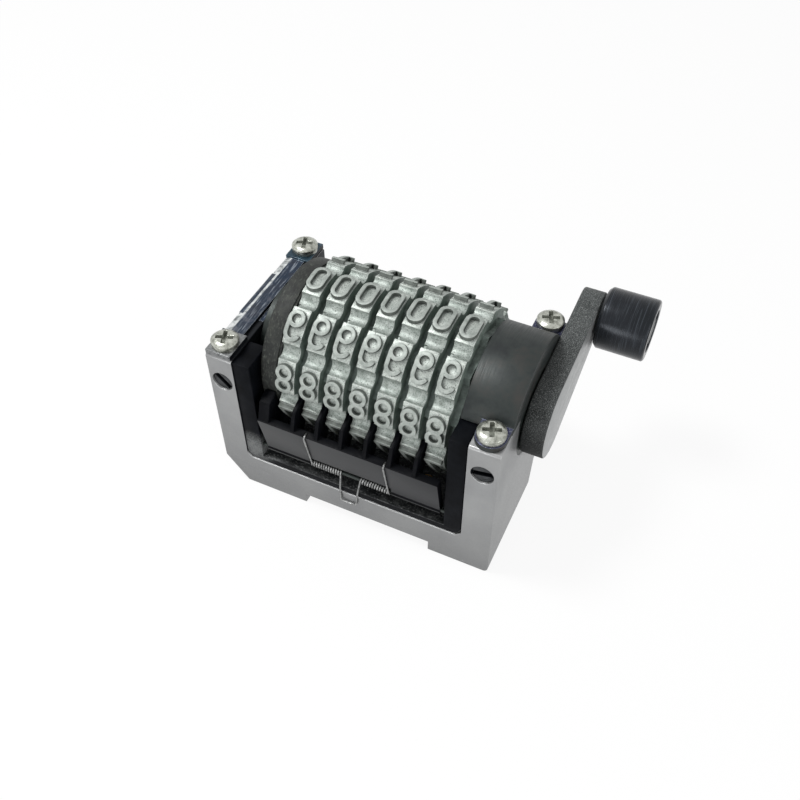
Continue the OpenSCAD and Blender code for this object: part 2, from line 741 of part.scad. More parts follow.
function reversed(p) = [for (i = [len(p) - 1 : -1 : 0]) p[i]];

module comb_spring()
    color(bright_wire) wire(concat(comb_half(-1), reversed(comb_half(1))), wire_d, [1, 0, 0]);

// ---- lever, hub and pawl swing ----

module swing_lever()
    color(dark_steel) difference() {
        union() {
            on_axis() rod_x(lever_hub_r, lever_x, lever_t);
            at_roller() rod_x(lever_end_r, lever_x, lever_t);
            on_axis() along_x(lever_x, lever_t) rotate(lever_angle)
                web_2d(lever_hub_r, lever_end_r, lever_l);
        }
        on_axis() rod_x(seat_d / 2 + seat_gap, lever_x - cut, seat_l + cut);
        on_axis() rod_x(lever_screw_r + seat_gap, lever_x, seat_l + lever_grip + side_gap);
        at_roller() rod_x(roller_pin_d / 2 + seat_gap, lever_x - cut, lever_t + 2 * cut);
    }

seat_l = 0.55 * lever_t;      // depth of the hub's seat in the lever
lever_grip = 0.25 * lever_t;  // thread beyond the seat
lever_screw_r = 1.25;

module drive_hub()
    color(dark_steel) on_axis() difference() {
        union() {
            rod_x(hub_d / 2, arm_right_x + side_gap, housing_w - side_gap - arm_right_x);
            rod_x(seat_d / 2, housing_w - cut, cut + seat_l);
        }
        rod_x(shaft_d / 2 + run_gap, 0, hub_bore_end);
        rod_x(lever_screw_r + seat_gap, housing_w - cut, housing_w);
    }

// goes in from the left, through the hub's bore
module lever_screw() {
    head_x = hub_bore_end - lever_head_t;
    slot_w = lever_head_t / 2;
    color(black_oxide) on_axis() difference() {
        union() {
            rod_x(shaft_d / 2 - side_gap, head_x, lever_head_t);
            rod_x(lever_screw_r, head_x, lever_x + seat_l + lever_grip - head_x);
        }
        translate([head_x - cut, -slot_w / 2, -shaft_d / 2]) cube([cut + slot_w, slot_w, shaft_d]);
    }
}

ear_r = pawl_shaft_d / 2 + 0.7;
neck_r = 3;              // half the width of the swing's ears where they leave the shaft

// drawn in (depth, height) about the shaft's centre
module drive_arm_2d(r, bore)
    difference() {
        union() {
            circle(r);
            rotate(90 - pawl_angle) {
                translate([pawl_shaft_r, 0]) circle(ear_r);
                polygon([[0, -neck_r], [pawl_shaft_r, -ear_r], [pawl_shaft_r, ear_r], [0, neck_r]]);
            }
        }
        circle(bore);
        rotate(90 - pawl_angle) translate([pawl_shaft_r, 0]) circle(pawl_shaft_d / 2 + seat_gap);
    }

module right_drive_arm()
    color(dark_steel) on_axis() along_x(arm_right_x + side_gap, disc_t)
        drive_arm_2d(disc_r, hub_d / 2 + seat_gap);

module left_drive_arm()
    color(dark_steel) on_axis() along_x(arm_left_x + side_gap, arm_t - side_gap)
        drive_arm_2d(disc_r - arm_t, shaft_d / 2 + run_gap);

// the pawl's own frame: its shaft at the origin
pawl_y = axis_y + pawl_shaft_r * sin(pawl_angle);
pawl_z = axis_z + pawl_shaft_r * cos(pawl_angle);

module at_pawl() translate([0, pawl_y, pawl_z]) children();

module pawl_shaft()
    color(steel) at_pawl() rod_x(pawl_shaft_d / 2, arm_left_x + side_gap,
                                 arm_right_x + disc_t - arm_left_x);

// one finger, in (depth, height): from the pawl's shaft to the ratchet's teeth
module finger_2d(back_off) {
    tip_a = pawl_reach - pawl_angle;
    tip = nose_r + back_off;
    polygon([
        around_axis(pawl_shaft_r + pawl_tube_d / 2 - side_gap, 1.5 - pawl_angle),
        around_axis(pawl_shaft_r - pawl_tube_d / 2 + side_gap, -1.5 - pawl_angle),
        around_axis(tip + nose_gap, tip_a - 9), around_axis(tip, tip_a - 2),
        around_axis(tip, tip_a), around_axis(tip + 1, tip_a + 1)
    ]);
}

module drive_pawl() {
    tube_x = wheels_x + end_gap;
    finger_w = rib_w - side_gap;
    finger_x = wheels_x + wheel_w + (wheel_pitch - wheel_w - finger_w) / 2;
    color(steel) difference() {
        union() {
            at_pawl() rod_x(pawl_tube_d / 2, tube_x, wheels_end - tube_x);
            for (i = [0 : wheel_count - 1]) let (x = finger_x + i * wheel_pitch)
                along_x(x, min(finger_w, wheels_end - x)) finger_2d(i * pawl_step);
        }
        at_pawl() rod_x(pawl_shaft_d / 2 + run_gap, tube_x - cut, wheels_end - tube_x + 2 * cut);
    }
}

pawl_coil_r = pawl_shaft_d / 2 + 2 * side_gap + wire_d / 2;
pawl_turns = 5;
pawl_leg_a = 16;         // sweep of the spring's first leg about the main shaft

module pawl_spring() {
    x0 = arm_left_x + arm_t + wire_d;
    x1 = wheels_x - end_gap;
    steps = pawl_turns * coil_steps;
    inner_r = pawl_shaft_r - pawl_coil_r;
    coil = [for (k = [0 : steps]) let (a = 360 * k / coil_steps)
        [x0 + (x1 - x0) * k / steps, pawl_y - pawl_coil_r * cos(a), pawl_z - pawl_coil_r * sin(a)]];
    color(bright_wire) wire(concat(
        [concat([x0], around_axis(inner_r, pawl_leg_a - pawl_angle))], coil,
        [concat([x1], around_axis(inner_r, -pawl_leg_a / 2 - pawl_angle))]), wire_d, [1, 0, 0]);
}

// flat spiral around the hub, under the arched cap
spiral_t = 0.35;
spiral_turns = 4;
spiral_steps = 18;       // steps in one turn

function spiral(off) = let (
    n = spiral_turns * spiral_steps,
    from = hub_d / 2 + spiral_t,
    to = disc_r - spiral_t
) [for (k = [0 : n])
    let (a = 360 * k / spiral_steps, r = off + from + (to - from) * k / n) r * [cos(a), sin(a)]];

module return_spring()
    color(bright_wire) on_axis()
        along_x(arm_right_x + disc_t + 2 * side_gap, arm_t - disc_t - 3 * side_gap)
            polygon(concat(spiral(-spiral_t / 2), reversed(spiral(spiral_t / 2))));

// ---- roller ----

clip_t = 0.5;
clip_sink = 1;
clip_r = roller_pin_d / 2 + 1.2;

module roller_washer()
    color(steel) at_roller() ring_x(roller_pin_d / 2 + seat_gap, roller_pin_d / 2 + 1,
                                    lever_x + lever_t, 2 * side_gap);

module roller_pin()
    color(dark_steel) at_roller()
        rod_x(roller_pin_d / 2, lever_x + side_gap, roller_end - lever_x - 2 * side_gap);

module cam_roller()
    color(black_oxide) at_roller() difference() {
        translate([roller_x, 0, 0]) rotate([0, 90, 0]) rotate_extrude() polygon([
            [0, 0], [roller_d / 2 - roller_chamfer, 0], [roller_d / 2, roller_chamfer],
            [roller_d / 2, roller_l - roller_chamfer / 2], [roller_d / 2 - roller_chamfer / 2, roller_l],
            [0, roller_l]
        ]);
        rod_x(roller_pin_d / 2 + run_gap, roller_x - cut, roller_l + 2 * cut);
        rod_x(clip_r + end_gap, roller_end - clip_sink, clip_sink + cut);
    }

module roller_clip()
    color(steel) at_roller() ring_x(roller_pin_d / 2 + seat_gap, clip_r,
                                    roller_end - clip_sink + side_gap, clip_t);

place() frame_yoke();
place() inner_cradle();
place() cradle_screws();
place() left_bearing_cap();
place() right_bearing_cap();
place() cap_screws();
place() set_screws();
place() left_bush();
place() right_bush();
place() main_shaft();
place() spacer_drum();
place() comb_bar();
place() comb_pivot_pin();
place() comb_spring();
place() swing_lever();
place() lever_screw();
place() drive_hub();
place() right_drive_arm();
place() left_drive_arm();
place() pawl_shaft();
place() drive_pawl();
place() pawl_spring();
place() return_spring();
place() roller_washer();
place() roller_pin();
place() cam_roller();
place() roller_clip();
for (i = [1 : wheel_count]) {
    place() number_wheel(i);
    place() ratchet(i);
}
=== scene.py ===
import json
import math

import bpy
from mathutils import Matrix, Vector


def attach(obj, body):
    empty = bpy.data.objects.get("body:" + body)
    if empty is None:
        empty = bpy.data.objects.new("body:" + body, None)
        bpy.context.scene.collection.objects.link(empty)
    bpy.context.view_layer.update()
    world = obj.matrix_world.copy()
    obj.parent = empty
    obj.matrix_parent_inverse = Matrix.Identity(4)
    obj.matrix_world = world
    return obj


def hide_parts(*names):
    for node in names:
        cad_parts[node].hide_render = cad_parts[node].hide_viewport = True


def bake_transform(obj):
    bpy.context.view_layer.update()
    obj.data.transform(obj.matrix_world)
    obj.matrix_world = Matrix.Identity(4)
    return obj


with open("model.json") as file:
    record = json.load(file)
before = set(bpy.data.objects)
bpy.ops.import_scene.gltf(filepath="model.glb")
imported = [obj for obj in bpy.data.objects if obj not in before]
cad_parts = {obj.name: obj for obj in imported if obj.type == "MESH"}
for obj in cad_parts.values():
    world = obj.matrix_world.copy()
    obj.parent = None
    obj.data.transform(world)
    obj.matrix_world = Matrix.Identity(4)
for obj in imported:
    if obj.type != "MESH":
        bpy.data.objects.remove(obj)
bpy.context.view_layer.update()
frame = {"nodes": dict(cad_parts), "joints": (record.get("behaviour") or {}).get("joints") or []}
mm = 0.001
facing = 0.9  # a normal with this share along an axis faces that way
print("frame loaded:", len(frame["nodes"]), "nodes")

# where the joints sit; the wheels' shaft runs along X through axisY, axisZ
jointAt = {joint["name"]: Vector(joint["pos_m"]) for joint in frame["joints"]}
axisY, axisZ = jointAt["lever_swing"][1:]


def boxOf(node):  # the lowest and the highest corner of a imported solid
    spots = [vertex.co for vertex in frame["nodes"][node].data.vertices]
    return Vector(map(min, *spots)), Vector(map(max, *spots))


yokeLow, yokeHigh = boxOf("frame_yoke")
screwLow, screwHigh = boxOf("cap_screws")
capTop = boxOf("left_bearing_cap")[1].z
drumLeft = boxOf("spacer_drum")[0].x
leverFoot = boxOf("swing_lever")[0].z
wheelCount = len([node for node in frame["nodes"] if node.startswith("number_wheel_")])


# modelling helpers

def pickOnly(obj):
    if bpy.context.object and bpy.context.object.mode != "OBJECT":
        bpy.ops.object.mode_set(mode="OBJECT")
    bpy.ops.object.select_all(action="DESELECT")
    obj.select_set(True)
    bpy.context.view_layer.objects.active = obj


def settle(piece, name):  # place and turn go into the mesh, so the object sits at the origin
    pickOnly(piece)
    bpy.ops.object.transform_apply(location=True, rotation=True, scale=True)
    piece.name = piece.data.name = name
    return piece


def copyOfNode(node, name, flatten=True):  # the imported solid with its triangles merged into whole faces
    piece = bpy.data.objects.new(name, frame["nodes"][node].data.copy())
    bpy.context.scene.collection.objects.link(piece)
    pickOnly(piece)
    bpy.ops.object.mode_set(mode="EDIT")
    bpy.ops.mesh.select_all(action="SELECT")
    bpy.ops.mesh.remove_doubles(threshold=1e-7)
    if flatten:
        bpy.ops.mesh.dissolve_limited(angle_limit=math.radians(1))
    bpy.ops.object.mode_set(mode="OBJECT")
    piece.data.materials.clear()
    return piece


def softenEdges(piece, width, segments=2, angle=35):  # rounds the edges that are sharper than the angle
    pickOnly(piece)
    bevel = piece.modifiers.new("softEdges", "BEVEL")
    bevel.width = width
    bevel.segments = segments
    bevel.limit_method = "ANGLE"
    bevel.angle_limit = math.radians(angle)
    bevel.use_clamp_overlap = False
    bpy.ops.object.modifier_apply(modifier=bevel.name)
    bpy.ops.object.shade_smooth_by_angle(angle=math.radians(40))
    return piece


def dress(piece, finish, body, node):  # a wheel's copy has its finishes already
    if not piece.data.materials:
        piece.data.materials.append(finish)
    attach(piece, body)
    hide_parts(node)


def coat(piece, finish, chosen):  # a second finish on the faces that chosen(centre, normal) picks
    piece.data.materials.append(finish)
    index = len(piece.data.materials) - 1
    for face in piece.data.polygons:
        if chosen(face.center, face.normal):
            face.material_index = index


def fromAxis(at):  # distance from the wheels' shaft
    return math.hypot(at.y - axisY, at.z - axisZ)


def smoothCopy(node, name):  # a wire keeps its facets and gets smooth shading
    piece = copyOfNode(node, name, flatten=False)
    bpy.ops.object.shade_smooth_by_angle(angle=math.radians(75))
    return piece


# finish helpers

def tint(red, green, blue):  # 0 to 255 as the eye sees it, to the linear values that a shader takes
    def linear(v):
        v /= 255
        return v / 12.92 if v <= 0.04045 else ((v + 0.055) / 1.055) ** 2.4
    return (linear(red), linear(green), linear(blue), 1)


def newFinish(name, metallic, roughness):
    finish = bpy.data.materials.new(name)
    finish.use_nodes = True
    tree = finish.node_tree
    shader = tree.nodes["Principled BSDF"]
    shader.inputs["Metallic"].default_value = metallic
    shader.inputs["Roughness"].default_value = roughness
    return finish, tree, shader


def where(tree, stretch=(1, 1, 1), centre=(0, 0, 0)):  # the place on the piece, in metres
    spot = tree.nodes.new("ShaderNodeTexCoord")
    mapping = tree.nodes.new("ShaderNodeMapping")
    mapping.inputs["Location"].default_value = [-c * s for c, s in zip(centre, stretch)]
    mapping.inputs["Scale"].default_value = stretch
    tree.links.new(spot.outputs["Object"], mapping.inputs["Vector"])
    return mapping.outputs["Vector"]


def noise(tree, at, size, detail=3, rough=0.55):  # size is that of one blotch, in metres
    node = tree.nodes.new("ShaderNodeTexNoise")
    node.inputs["Scale"].default_value = 1 / size
    node.inputs["Detail"].default_value = detail
    node.inputs["Roughness"].default_value = rough
    tree.links.new(at, node.inputs["Vector"])
    return node.outputs["Fac"]


def ramp(tree, fac, *stops):  # stops are (position, colour)
    node = tree.nodes.new("ShaderNodeValToRGB")
    for position, colour in stops[1:-1]:
        node.color_ramp.elements.new(position)
    for element, (position, colour) in zip(node.color_ramp.elements, stops):
        element.position = position
        element.color = colour if isinstance(colour, tuple) else (colour, colour, colour, 1)
    tree.links.new(fac, node.inputs["Fac"])
    return node.outputs["Color"]


def blendColours(tree, fac, first, second, how="MIX"):
    node = tree.nodes.new("ShaderNodeMix")
    node.data_type = "RGBA"
    node.blend_type = how
    sockets = (node.inputs["Factor"], node.inputs[6], node.inputs[7])  # 6 and 7 are the colours A and B
    for socket, value in zip(sockets, (fac, first, second)):
        if isinstance(value, bpy.types.NodeSocket):
            tree.links.new(value, socket)
        else:
            socket.default_value = value
    return node.outputs[2]


def bump(tree, height, depth):  # depth in metres
    node = tree.nodes.new("ShaderNodeBump")
    node.inputs["Distance"].default_value = depth
    tree.links.new(height, node.inputs["Height"])
    return node.outputs["Normal"]


def edgeMask(tree, radius):  # 1 along outer and inner edges, 0 on the flats
    rounded = tree.nodes.new("ShaderNodeBevel")
    rounded.samples = 4
    rounded.inputs["Radius"].default_value = radius
    plain = tree.nodes.new("ShaderNodeNewGeometry")
    dot = tree.nodes.new("ShaderNodeVectorMath")
    dot.operation = "DOT_PRODUCT"
    tree.links.new(rounded.outputs["Normal"], dot.inputs[0])
    tree.links.new(plain.outputs["Normal"], dot.inputs[1])
    return ramp(tree, dot.outputs["Value"], (0.80, 1.0), (0.985, 0.0))


def creaseMask(tree, reach):  # 1 in the piece's own corners and recesses, 0 on the open faces
    nook = tree.nodes.new("ShaderNodeAmbientOcclusion")
    nook.samples = 8
    nook.only_local = True
    nook.inputs["Distance"].default_value = reach
    return ramp(tree, nook.outputs["AO"], (0.45, 1.0), (0.95, 0.0))


def along(tree, axis, low, high):  # 0 at low and 1 at high, in metres
    spot = tree.nodes.new("ShaderNodeSeparateXYZ")
    tree.links.new(where(tree), spot.inputs[0])
    share = tree.nodes.new("ShaderNodeMapRange")
    share.inputs["From Min"].default_value = low
    share.inputs["From Max"].default_value = high
    tree.links.new(spot.outputs[axis], share.inputs["Value"])
    return share.outputs["Result"]


def patchMask(tree, centre, reach, cloud):  # 1 at the centre, 0 beyond reach, broken up by the cloud
    apart = tree.nodes.new("ShaderNodeVectorMath")
    apart.operation = "DISTANCE"
    tree.links.new(where(tree), apart.inputs[0])
    apart.inputs[1].default_value = centre
    near = tree.nodes.new("ShaderNodeMapRange")
    near.inputs["From Min"].default_value = reach
    near.inputs["From Max"].default_value = 0
    tree.links.new(apart.outputs["Value"], near.inputs["Value"])
    broken = tree.nodes.new("ShaderNodeMath")
    broken.operation = "MULTIPLY"
    tree.links.new(near.outputs["Result"], broken.inputs[0])
    tree.links.new(cloud, broken.inputs[1])
    return ramp(tree, broken.outputs[0], (0.1, 0.0), (0.4, 1.0))


def mottled(name, metallic, roughness, blotch, colours, grain=0.16, depth=0.008, stretch=(1, 1, 1),
            marks=None, wornAndGlint=None, specular=0.5, gloss=(255, 255, 255), creaseShade=None, fade=None, rubbedAndSheen=None):
    # blotches of the colours with finer grain over them; sizes are in mm
    # marks: two levels of the grain and the shade that it takes from the first to the second
    # edge and corner options: how wide the edges or how deep the corners are taken, and their colour; edges
    # get wear with a painted highlight, corners a painted shade
    # fade: an axis, two places on it in metres, and how much of the colours shows at each
    # the bare spot: its middle in metres, its reach and its colour; bare metal with a painted reflection
    finish, tree, shader = newFinish(name, metallic, roughness)
    shader.inputs["Specular IOR Level"].default_value = specular
    shader.inputs["Specular Tint"].default_value = tint(*gloss)
    cloud = noise(tree, where(tree), blotch * mm, 4, 0.6)
    step = 0.4 / (len(colours) - 1)  # the noise lies mostly between 0.3 and 0.7
    colour = ramp(tree, cloud, *[(0.3 + step * k, tint(*c)) for k, c in enumerate(colours)])
    fine = noise(tree, where(tree, stretch, (0, axisY, axisZ)), grain * mm, 3, 0.65)
    if marks:
        low, high, shade = marks
        mask = ramp(tree, fine, *sorted([(low, 0.0), (high, 1.0)]))
        colour = blendColours(tree, mask, colour, tint(*shade))
    if fade:
        axis, low, high, lowShade, highShade = fade
        shade = ramp(tree, along(tree, axis, low, high), (0.0, lowShade), (1.0, highShade))
        colour = blendColours(tree, 1.0, colour, shade, "MULTIPLY")
    # a lighter spot: bare metal with a painted reflection
    if rubbedAndSheen:
        spot, reach, shade = rubbedAndSheen
        colour = blendColours(tree, patchMask(tree, spot, reach * mm, fine), colour, tint(*shade))
    # edge wear with a painted highlight: the edges are lightened
    if wornAndGlint:
        radius, shade = wornAndGlint
        colour = blendColours(tree, edgeMask(tree, radius * mm), colour, tint(*shade))
    # painted shade: the piece's own corners and recesses are darkened
    if creaseShade:
        reach, shade = creaseShade
        colour = blendColours(tree, creaseMask(tree, reach * mm), colour, tint(*shade))
    tree.links.new(colour, shader.inputs["Base Color"])
    uneven = ramp(tree, fine, (0.3, roughness - 0.08), (0.7, roughness + 0.1))
    tree.links.new(uneven, shader.inputs["Roughness"])
    tree.links.new(bump(tree, fine, depth * mm), shader.inputs["Normal"])
    return finish


# finishes: metallic, roughness, size of the blotches in mm, colours as the eye sees them

turned = (1, 0.03, 0.03)  # stretches a pattern into rings about the shaft
plateFootShade = ("Z", yokeLow.z, yokeLow.z + 16 * mm, 0.7, 1.0)  # painted shade: the plating is drawn darker towards the foot
leverFade = ("Z", leverFoot + 3 * mm, leverFoot + 14 * mm, 0.08, 0.95)  # its lower end is nearly black
bareSheenSpot = yokeLow + Vector((6, 1, 9.5)) * mm  # low on the cradle's left arm: bare metal with a painted reflection

finishes = {
    "satinPlate": mottled("satinPlate", 0.8, 0.42, 12, [(142, 143, 144), (158, 159, 159)],
                          wornAndGlint=(0.2, (190, 191, 191)), fade=plateFootShade),
    # painted shade on the inner faces between the parts
    "paintedInnerShade": mottled("paintedInnerShade", 0.2, 0.45, 4, [(12, 14, 18), (28, 31, 35)], specular=0.2,
                         wornAndGlint=(0.1, (118, 122, 126))),
    "blackOxide": mottled("blackOxide", 0, 0.42, 3.5, [(4, 5, 7), (9, 11, 15), (18, 20, 24)],
                          grain=0.25, depth=0.02, wornAndGlint=(0.12, (34, 38, 46)), specular=0.05,
                          rubbedAndSheen=(bareSheenSpot, 5, (108, 110, 110))),
    "floorOxide": mottled("floorOxide", 0.2, 0.4, 2.2, [(14, 16, 18), (34, 36, 37), (66, 68, 68)],
                          grain=0.3, depth=0.05, specular=0.25, marks=(0.52, 0.66, (92, 94, 94))),
    "bluedCap": mottled("bluedCap", 0.55, 0.3, 2.6, [(14, 22, 34), (40, 48, 62), (26, 42, 60), (84, 88, 98)],
                        grain=0.9, depth=0.03, stretch=(3, 0.3, 3),
                        marks=(0.54, 0.68, (126, 133, 142)), wornAndGlint=(0.2, (188, 194, 198))),
    "capLight": mottled("capLight", 0.6, 0.35, 1.4, [(60, 62, 66), (128, 130, 130), (96, 98, 100)],
                        grain=0.3, depth=0.02,
                        marks=(0.58, 0.66, (26, 28, 32)), wornAndGlint=(0.16, (172, 174, 175))),
    "capTeal": mottled("capTeal", 0.5, 0.3, 1.8, [(22, 38, 48), (36, 62, 76), (70, 80, 86)],
                       grain=0.3, depth=0.01, wornAndGlint=(0.14, (150, 158, 170))),
    # the left cap's outer slope: worn metal with a painted highlight, near white
    "capSlopeWornSheen": mottled("capSlopeWornSheen", 0.7, 0.35, 1.0, [(90, 94, 96), (196, 200, 200), (224, 226, 226)],
                        grain=0.5, depth=0.03, marks=(0.58, 0.66, (92, 94, 96))),
    "archSteel": mottled("archSteel", 0.35, 0.48, 3, [(18, 23, 25), (34, 40, 39), (46, 45, 43)],
                         grain=0.12, stretch=turned, wornAndGlint=(0.15, (84, 88, 88))),
    "capPlate": mottled("capPlate", 0.5, 0.32, 1.4, [(30, 32, 38), (40, 42, 74), (78, 82, 92)],
                        grain=0.3, depth=0.01,
                        marks=(0.58, 0.66, (150, 158, 166)), wornAndGlint=(0.16, (160, 166, 172))),
    # the wheel: painted highlight along its worn edges, painted shade in its corners
    "wheelSteel": mottled("wheelSteel", 0.45, 0.46, 1.4, [(150, 158, 153), (198, 204, 198)],
                          grain=0.13, depth=0.02, marks=(0.46, 0.38, (70, 78, 74)),
                          wornAndGlint=(0.12, (222, 226, 222)), creaseShade=(0.4, (48, 54, 51))),
    "typeFace": mottled("typeFace", 0.35, 0.5, 1.0, [(130, 137, 132), (168, 174, 169)],
                        grain=0.15, depth=0.014,
                        marks=(0.40, 0.32, (84, 90, 86)), wornAndGlint=(0.06, (204, 208, 204))),
    # painted shade: the type's walls are darker than its faces and the pads
    "typeWallShade": mottled("typeWallShade", 0.3, 0.55, 0.8, [(66, 71, 67), (112, 118, 113)], depth=0.01,
                        creaseShade=(0.5, (38, 43, 40))),
    "valley": mottled("valley", 0.45, 0.48, 1.0, [(126, 135, 129), (178, 185, 180)], grain=0.13, depth=0.02,
                      marks=(0.47, 0.38, (60, 68, 64))),
    # painted shade: the wheels' sides between the wheels, darker than the rims, over turning marks
    "wheelSideShade": mottled("wheelSideShade", 0.1, 0.5, 1.2, [(80, 92, 86), (124, 136, 129)],
                         grain=0.2, stretch=turned),
    "ratchetSteel": mottled("ratchetSteel", 0.2, 0.5, 1.2, [(70, 80, 76), (118, 130, 124)], depth=0.01),
    "darkSteel": mottled("darkSteel", 0.4, 0.45, 1.2, [(22, 28, 26), (46, 54, 51)], depth=0.01),
    "roughDrum": mottled("roughDrum", 0.3, 0.62, 1.2, [(13, 15, 14), (30, 33, 31), (46, 48, 44)],
                         grain=0.26, depth=0.08, stretch=(1, 0.4, 0.4), marks=(0.54, 0.72, (78, 82, 76))),
    "combRib": mottled("combRib", 0, 0.45, 2, [(4, 5, 7), (12, 13, 17)], grain=0.3, specular=0.05,
                       wornAndGlint=(0.06, (52, 55, 61))),
    "leverSteel": mottled("leverSteel", 0.1, 0.5, 2.6, [(46, 49, 49), (72, 75, 75)], grain=0.12, depth=0.02,
                          marks=(0.50, 0.66, (142, 145, 144)), wornAndGlint=(0.3, (120, 123, 123)), specular=0.12,
                          fade=leverFade),
    # painted light: the lever's right face, lighter than its front
    "leverLitSide": mottled("leverLitSide", 0.6, 0.42, 1.5, [(144, 146, 146), (166, 168, 168)],
                         grain=0.22, depth=0.012),
    "turnedBlack": mottled("turnedBlack", 0, 0.24, 2.2, [(3, 5, 8), (9, 11, 15), (22, 25, 29)],
                           specular=0.32, gloss=(238, 245, 255), stretch=turned,
                           marks=(0.54, 0.76, (60, 65, 71)), wornAndGlint=(0.16, (124, 130, 138))),
    "nickel": mottled("nickel", 0.8, 0.26, 0.9, [(96, 98, 90), (168, 170, 161), (196, 198, 190)],
                      grain=0.35, depth=0.02, wornAndGlint=(0.1, (226, 228, 222))),
    "recess": mottled("recess", 0.1, 0.5, 0.6, [(98, 101, 92), (150, 153, 143)]),
    "setSteel": mottled("setSteel", 0.5, 0.42, 0.9, [(34, 36, 38), (66, 68, 70)],
                        wornAndGlint=(0.1, (140, 142, 144)), creaseShade=(0.8, (6, 6, 7))),
    "springWire": mottled("springWire", 0.8, 0.3, 0.6, [(98, 99, 99), (166, 167, 166)], depth=0.003),
    "turnedSteel": mottled("turnedSteel", 0.8, 0.34, 1.5, [(126, 128, 128), (172, 174, 173)],
                           grain=0.2, stretch=turned),
    "bronze": mottled("bronze", 0.8, 0.36, 1.5, [(140, 108, 64), (180, 144, 92)]),
}

combLook = {
    "roughness": 0.5, "specular": 0.2, "left": (64, 65, 66), "right": (34, 35, 38),
    "rim": (24, 25, 32), "rimR": 0.12 * mm, "grain": 0.12 * mm, "depth": 0.004 * mm,
}


def combFace():  # smooth mid grey, darker towards the lever's end
    finish, tree, shader = newFinish("combFace", 0, combLook["roughness"])
    shader.inputs["Specular IOR Level"].default_value = combLook["specular"]
    across = along(tree, "X", drumLeft, yokeHigh.x)
    base = ramp(tree, across, (0.0, tint(*combLook["left"])), (1.0, tint(*combLook["right"])))
    colour = blendColours(tree, edgeMask(tree, combLook["rimR"]), base, tint(*combLook["rim"]))
    grain = noise(tree, where(tree), combLook["grain"], 2)
    tree.links.new(colour, shader.inputs["Base Color"])
    tree.links.new(bump(tree, grain, combLook["depth"]), shader.inputs["Normal"])
    return finish


finishes["combFace"] = combFace()
print("finishes made:", len(finishes))

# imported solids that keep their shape

plainNodes = {
    "cradle_screws": "bronze", "left_bush": "darkSteel", "right_bush": "darkSteel",
    "main_shaft": "turnedSteel", "comb_pivot_pin": "darkSteel", "drive_hub": "darkSteel",
    "pawl_shaft": "turnedSteel", "drive_pawl": "turnedSteel", "roller_washer": "darkSteel",
    "roller_pin": "darkSteel", "roller_clip": "darkSteel", "right_drive_arm": "darkSteel",
    "left_drive_arm": "darkSteel", "lever_screw": "blackOxide",
}
for number in range(1, wheelCount + 1):
    plainNodes[f"ratchet_{number}"] = "ratchetSteel"
for node, finish in plainNodes.items():
    mesh = frame["nodes"][node].data
    mesh.materials.clear()
    mesh.materials.append(finishes[finish])

# housing, cradle and drum

housing = {
    "edge": 0.12 * mm, "cradleEdge": 0.1 * mm, "drumEdge": 0.08 * mm,
    "floor": 8.2 * mm,      # the cradle's floor strip ends below this height
    "cheek": 4 * mm,        # the cheeks' inner faces lie deeper than this
    "leftCheek": 6 * mm,    # all of the left cheek lies within this
    "capSeat": 1 * mm,      # the cap's seat is no further below the shaft than this
}


def cheekInside(at, normal):
    return (abs(normal.x) > facing and at.z > housing["floor"] and
            yokeLow.x + housing["cheek"] < at.x < yokeHigh.x - housing["cheek"])


def leftCheekTop(at, normal):
    return (normal.z > facing and at.z > axisZ - housing["capSeat"] and
            at.x < yokeLow.x + housing["leftCheek"])


yoke = softenEdges(copyOfNode("frame_yoke", "housing"), housing["edge"])
dress(yoke, finishes["satinPlate"], "frame", "frame_yoke")
# painted shade on the cheeks' inner faces and on the left cheek's top under its cap
coat(yoke, finishes["paintedInnerShade"], cheekInside)
coat(yoke, finishes["paintedInnerShade"], leftCheekTop)
cradle = softenEdges(copyOfNode("inner_cradle", "cradle"), housing["cradleEdge"])
dress(cradle, finishes["blackOxide"], "frame", "inner_cradle")
coat(cradle, finishes["floorOxide"], lambda at, normal: at.z < housing["floor"] and normal.z > -0.5)
drum = softenEdges(copyOfNode("spacer_drum", "drum"), housing["drumEdge"])
dress(drum, finishes["roughDrum"], "frame", "spacer_drum")
print("housing done")

# bearing caps and their screws

caps = {
    "edge": 0.08 * mm, "screwEdge": 0.03 * mm, "setEdge": 0.12 * mm,
    "pad": 5.2 * mm,        # length of the left cap's flats under its screws
    "archR": 9.5 * mm,      # the right cap's flats lie further from the shaft than this
    "headR": 2.1 * mm, "crossR": 1.5 * mm, "crossRim": 0.1 * mm,
}


def outerSlope(at, normal):
    return normal.x < -0.25 and normal.z > 0.5


def archFlat(at, normal):
    return at.z < capTop + caps["edge"] and normal.z > 0.6 and abs(at.y - axisY) > caps["archR"]


def fromScrew(at):  # the four screws stand at the corners of their node's box
    return math.hypot(min(at.x - screwLow.x, screwHigh.x - at.x) - caps["headR"],
                      min(at.y - screwLow.y, screwHigh.y - at.y) - caps["headR"])


def screwCross(at, normal):
    return (fromScrew(at) < caps["crossR"] and
            capTop + caps["crossRim"] < at.z < screwHigh.z - caps["crossRim"])


leftCap = softenEdges(copyOfNode("left_bearing_cap", "leftCap"), caps["edge"])
dress(leftCap, finishes["bluedCap"], "frame", "left_bearing_cap")
coat(leftCap, finishes["capLight"], lambda at, normal: at.y < yokeLow.y + caps["pad"])
coat(leftCap, finishes["capTeal"], lambda at, normal: at.y > yokeHigh.y - caps["pad"])
# the outer slope gets worn metal with a painted highlight
coat(leftCap, finishes["capSlopeWornSheen"], outerSlope)
